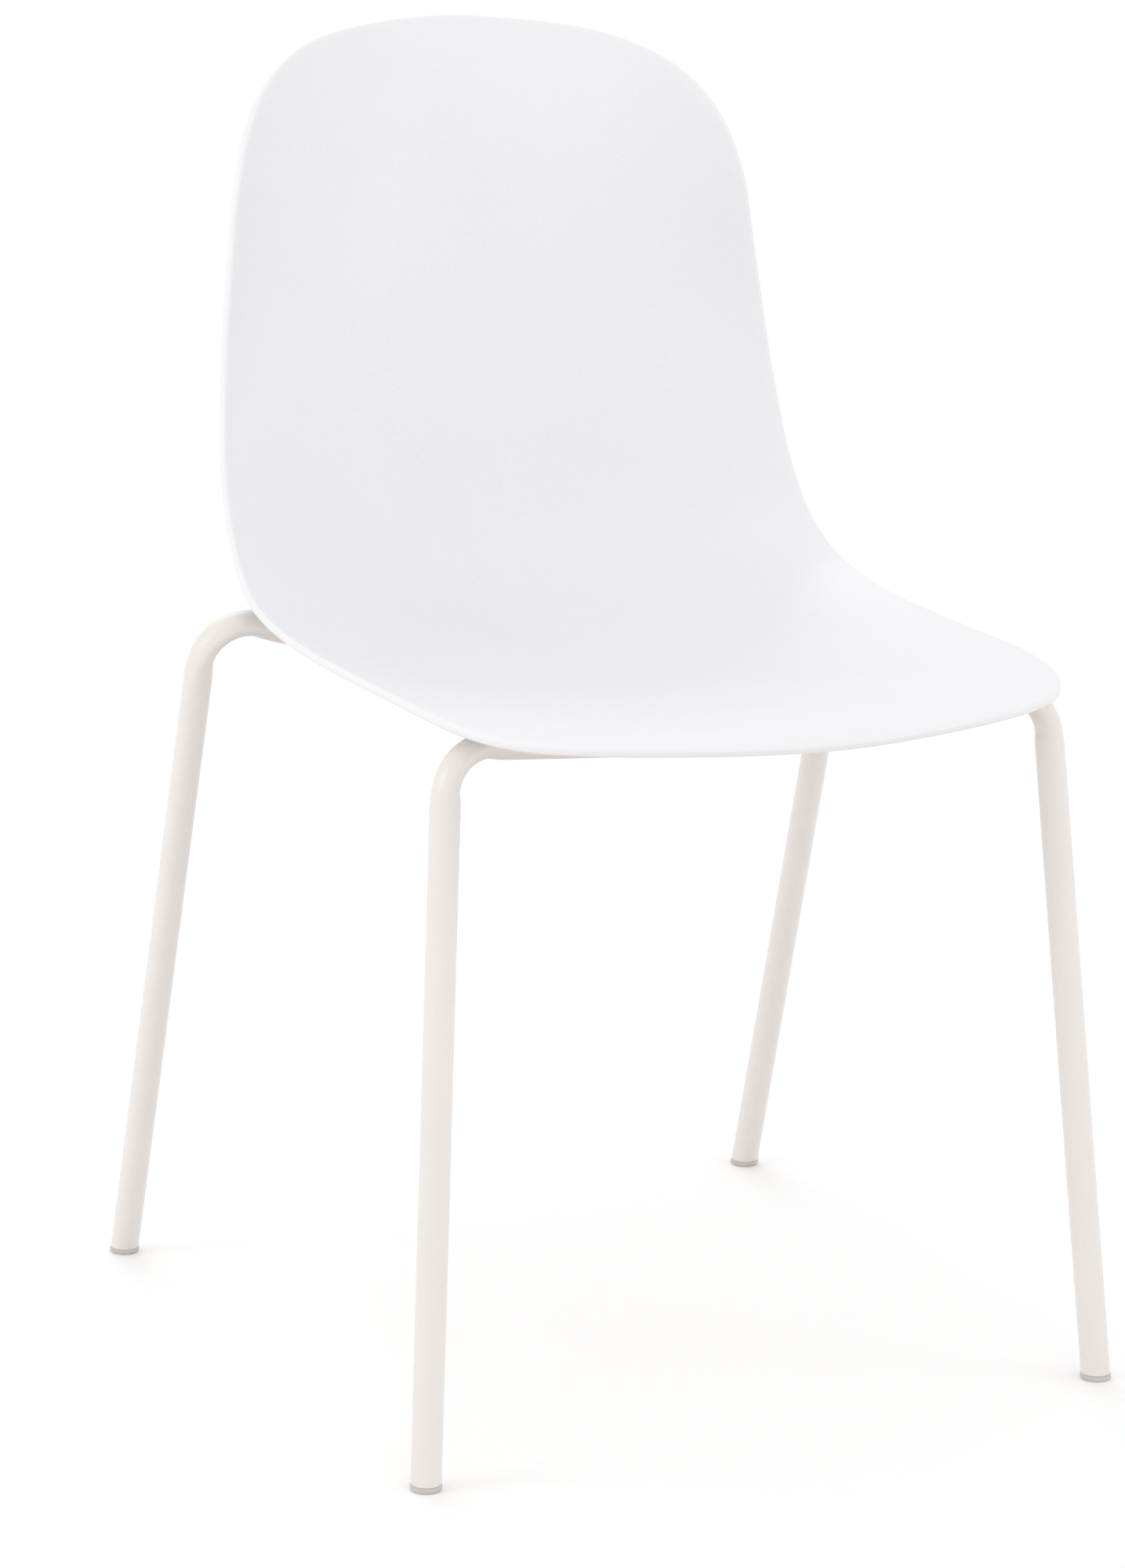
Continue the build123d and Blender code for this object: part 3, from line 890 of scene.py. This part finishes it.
def plateLine(row, side):
    # where the bracket's lower face meets the rail
    y, top = fixings[row + "Y"], fixings[row + "Top"]
    startZ, endZ = welds["railEndZ"]
    startY, endY = tubes["front"]["corner"][1], tubes["rear"]["corner"][1]
    railZ = startZ + (endZ - startZ) * (y - startY) / (endY - startY)
    low = top - fixings["plate"]
    x = welds["railX"] - sqrt(welds["railRadius"] ** 2 - (low - railZ) ** 2)
    return [(side * x, y + shift, low) for shift in welds["alongPlate"]]


def weldBeadTree():
    # a round bead along every run, with the even ripples that a torch leaves
    tree, given, out = newGroup("weldBead", "GeometryNodeTree", [
        ("Geometry", "Geometry", None), ("Bead Radius", "Float", 0.001), ("Ripple", "Float", 0.2),
        ("Ripple Pitch", "Float", 0.002), ("Step", "Float", 0.001), ("Sides", "Int", 8),
        ("Material", "Material", None)], [("Geometry", "Geometry")])
    even = addNode(tree, "GeometryNodeResampleCurve", {
        "Curve": given["Geometry"], "Length": given["Step"]}, mode="LENGTH")
    along = addNode(tree, "GeometryNodeSplineParameter").outputs["Length"]
    turns = addMath(tree, "DIVIDE", along, given["Ripple Pitch"])
    angle = addMath(tree, "MULTIPLY", turns, 2 * pi)
    wave = addMath(tree, "SINE", angle)
    size = addMath(tree, "MULTIPLY_ADD", wave, given["Ripple"], 1.0)
    ring = addNode(tree, "GeometryNodeCurvePrimitiveCircle", {
        "Resolution": given["Sides"], "Radius": given["Bead Radius"]})
    skin = addNode(tree, "GeometryNodeCurveToMesh", {
        "Curve": even.outputs[0], "Profile Curve": ring.outputs[0], "Fill Caps": True, "Scale": size})
    smooth = addNode(tree, "GeometryNodeSetShadeSmooth", {"Geometry": skin.outputs[0]})
    real = addNode(tree, "GeometryNodeRealizeInstances", {"Geometry": smooth.outputs[0]})
    painted = addNode(tree, "GeometryNodeSetMaterial", {
        "Geometry": real.outputs[0], "Material": given["Material"]})
    tree.links.new(painted.outputs[0], out[0])
    return tree


def makeWelds():
    data = bpy.data.curves.new("weld_beads", "CURVE")
    data.dimensions = "3D"
    for row in ("front", "rear"):
        for side in (-1, 1):
            for points, closed in ((saddleLine(row, side), True), (plateLine(row, side), False)):
                spline = data.splines.new("POLY")
                spline.points.add(len(points) - 1)
                spline.use_cyclic_u = closed
                for target, place in zip(spline.points, points):
                    target.co = (*place, 1)
    piece = bakeTree(linkPiece("weld_beads", data), weldBeadTree(), {
        "Bead Radius": welds["bead"], "Ripple": welds["ripple"], "Ripple Pitch": welds["ripplePitch"],
        "Step": welds["step"], "Sides": welds["sides"], "Material": finishes["framePaint"]})
    finishPiece(piece, "frame_paint")


makeWelds()

# ---- stacking pads ----
pads = {
    "corner": 0.005, "edge": 0.002, "cornerSteps": 6, "sharpestCorner": 0.0008,
    "groove": 0.0007, "grooveHeights": (0.0045, 0.0075), "grooveWidth": 0.0012,
    "recess": 0.0006, "recessInset": (0.0046, 0.0042, 0.0038),    # the tread's recess, inside out
    "topStep": 0.001, "topInset": 0.0006,
    # side x, y, low z, top z, width, length
    "front": (0.095, -0.053, 0.4155, 0.4368, 0.020, 0.034),
    "rear": (0.038, 0.1292, 0.4055, 0.426, 0.026, 0.024),
}


def roundedRing(x, y, width, length, corner, z):
    ring = []
    for quarter, (sx, sy) in enumerate(((1, 1), (-1, 1), (-1, -1), (1, -1))):
        for k in range(pads["cornerSteps"] + 1):
            turn = (quarter + k / pads["cornerSteps"]) * pi / 2
            ring.append((x + sx * (width / 2 - corner) + corner * cos(turn),
                         y + sy * (length / 2 - corner) + corner * sin(turn), z))
    return ring


def padProfile(low, high):
    # (inset, height, edge mask) from the recess in the tread up to the top
    edge, recess = pads["edge"], pads["recess"]
    inner, lip, rim = pads["recessInset"]
    rows = [(inner, low + recess, 0.1), (lip, low + recess, 0.3), (rim, low, 1.0)]
    rows += [(edge - edge * sin(a), low + edge - edge * cos(a), 1.0) for a in (0, pi / 6, pi / 3, pi / 2)]
    for lift in pads["grooveHeights"]:
        for shift, depth in ((-0.5, 0), (-0.2, 1), (0.2, 1), (0.5, 0)):
            rows.append((depth * pads["groove"], low + lift + shift * pads["grooveWidth"], 0.2))
    return rows + [(0.0, high - pads["topStep"], 0.0), (pads["topInset"], high, 0.6)]


def makePads():
    verts, faces, mask = [], [], []
    for row in ("front", "rear"):
        x, y, low, high, width, length = pads[row]
        for side in (-1, 1):
            profile = padProfile(low, high)
            base, count = len(verts), 4 * (pads["cornerSteps"] + 1)
            for inset, z, edge in profile:
                corner = max(pads["corner"] - inset, pads["sharpestCorner"])
                verts += roundedRing(side * x, y, width - 2 * inset, length - 2 * inset, corner, z)
                mask += [edge] * count
            faces.append(tuple(base + k for k in reversed(range(count))))
            for k in range(len(profile) - 1):
                faces += ringFaces(count, base + k * count, base + (k + 1) * count)
            faces.append(tuple(base + (len(profile) - 1) * count + k for k in range(count)))
    piece = makePiece("stacking_pads", verts, faces, finishes["padRubber"])
    setEdge(piece, mask)
    nodes = [row + "_stacking_pad_" + name for row in ("front", "rear") for name in ("left", "right")]
    finishPiece(piece, "pad_rubber", *nodes)


makePads()

# ---- parts that keep their CAD shape and get their finish ----
kept = {"framePaint": ["rail_left", "rail_right", "front_bracket_left", "front_bracket_right",
                       "rear_bracket_left", "rear_bracket_right"],
        "zincSteel": ["screw_washers"], "insertBrass": ["threaded_inserts"]}
for name, members in kept.items():
    for node in members:
        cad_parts[node].data.materials.clear()
        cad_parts[node].data.materials.append(finishes[name])
print("finishes given to the parts that keep their shape")

# ---- stage, light and camera ----
stage = {"floorColour": (0.93, 0.93, 0.93, 1), "floorDrift": (0.94, 0.94, 0.94, 1), "floorGrain": 3.0,
         "floorRoughness": 0.8, "floorSize": 40.0, "world": 1.0,
         # place, aim, size and power of each soft lamp
         "lamps": {"left": ((-2.8, 0.2, 1.6), (0, 0, 0.45), 1.4, 10),
                   "right": ((2.7, -2.2, 1.9), (0, 0, 0.45), 1.6, 7),
                   "above": ((-0.3, -0.3, 3.0), (0, -0.1, 0.45), 1.8, 2.5),
                   "front": ((-0.4, -4.4, 2.0), (0, 0, 0.5), 1.8, 8),
                   "behind": ((0.8, 6.0, 5.0), (1.5, 7.0, 0), 5.0, 120)},
         "camera": (-1.4557, -2.8848, 1.1486), "aim": (-0.0430, 0.0, 0.3717), "roll": 0.634,
         "lens": 118.3}


def makeFloor():
    half = stage["floorSize"] / 2
    material = bpy.data.materials.new("paleFloor")
    material.use_nodes = True
    tree = material.node_tree
    shader = tree.nodes["Principled BSDF"]
    place = addNode(tree, "ShaderNodeTexCoord").outputs["Object"]
    noise = addNode(tree, "ShaderNodeTexNoise", {
        "Vector": place, "Scale": stage["floorGrain"], "Detail": 4.0})
    tone = addNode(tree, "ShaderNodeMix", {
        "Factor": noise.outputs["Fac"], "A": stage["floorColour"],
        "B": stage["floorDrift"]}, data_type="RGBA")
    tree.links.new(tone.outputs["Result"], shader.inputs["Base Color"])
    shader.inputs["Roughness"].default_value = stage["floorRoughness"]
    corners = [(-half, -half, 0), (half, -half, 0), (half, half, 0), (-half, half, 0)]
    floor = makePiece("floor", corners, [(0, 1, 2, 3)], material, smooth=False)


def addLight(name, place, aim, size, power):
    data = bpy.data.lights.new(name, "AREA")
    data.shape, data.size, data.energy = "DISK", size, power
    light = linkPiece(name, data)
    light.location = place
    light.rotation_mode = "QUATERNION"
    light.rotation_quaternion = (Vector(aim) - Vector(place)).to_track_quat("-Z", "Y")


def makeStage():
    makeFloor()
    world = bpy.data.worlds.new("studio")
    world.use_nodes = True
    world.node_tree.nodes["Background"].inputs["Color"].default_value = (1, 1, 1, 1)
    world.node_tree.nodes["Background"].inputs["Strength"].default_value = stage["world"]
    bpy.context.scene.world = world
    for name, lamp in stage["lamps"].items():
        addLight(name, *lamp)
    bpy.context.scene.view_settings.view_transform = "Standard"


def makeCamera():
    data = bpy.data.cameras.new("camera")
    data.lens, data.sensor_width, data.clip_end = stage["lens"], 36.0, 100.0
    camera = linkPiece("camera", data)
    camera.location = stage["camera"]
    camera.rotation_mode = "QUATERNION"
    line = Vector(stage["aim"]) - Vector(stage["camera"])
    camera.rotation_quaternion = (line.to_track_quat("-Z", "Y")
                                  @ Quaternion((0, 0, 1), radians(stage["roll"])))
    bpy.context.scene.camera = camera


makeStage()
makeCamera()
print("stage, lights and camera in place")
